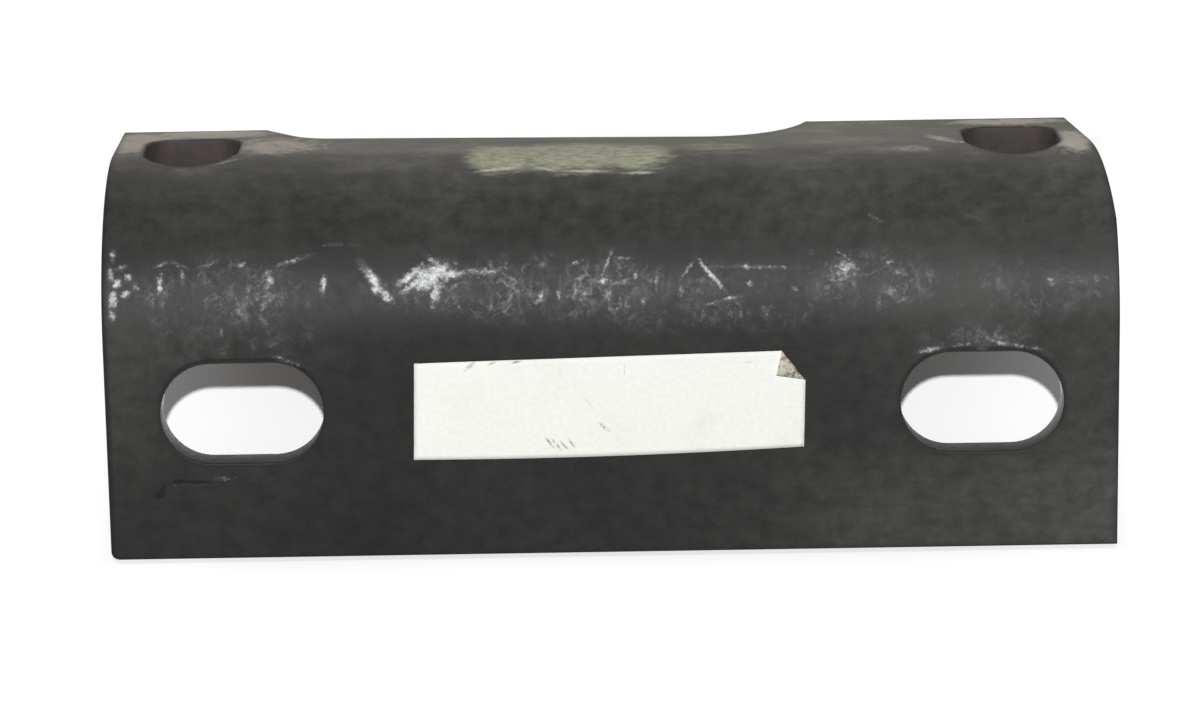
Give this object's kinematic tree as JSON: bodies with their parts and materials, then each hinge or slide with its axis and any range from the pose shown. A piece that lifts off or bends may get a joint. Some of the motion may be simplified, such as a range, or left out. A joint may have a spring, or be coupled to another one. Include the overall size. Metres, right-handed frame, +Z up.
{
  "type": "forklift bracket",
  "caption": "Thick steel plate bent into an angle with a wide bend radius, with bolt slots in the leg and the flange, a cut-away back edge and a blank paper label.",
  "frame": {"origin": "midway between the two leg slots, on the outer face of the upright leg", "axes": "+X along the bend, +Y from the leg's outer face towards the flange's back edge, +Z up the leg towards the flange"},
  "size_m": [0.23, 0.0655, 0.087],
  "materials": {
    "steel": "dark mill scale, scuffed",
    "paper": "matt white paper"
  },
  "bodies": {
    "root": {"bracket": "steel", "paper_label": "paper"}
  },
  "joints": []
}
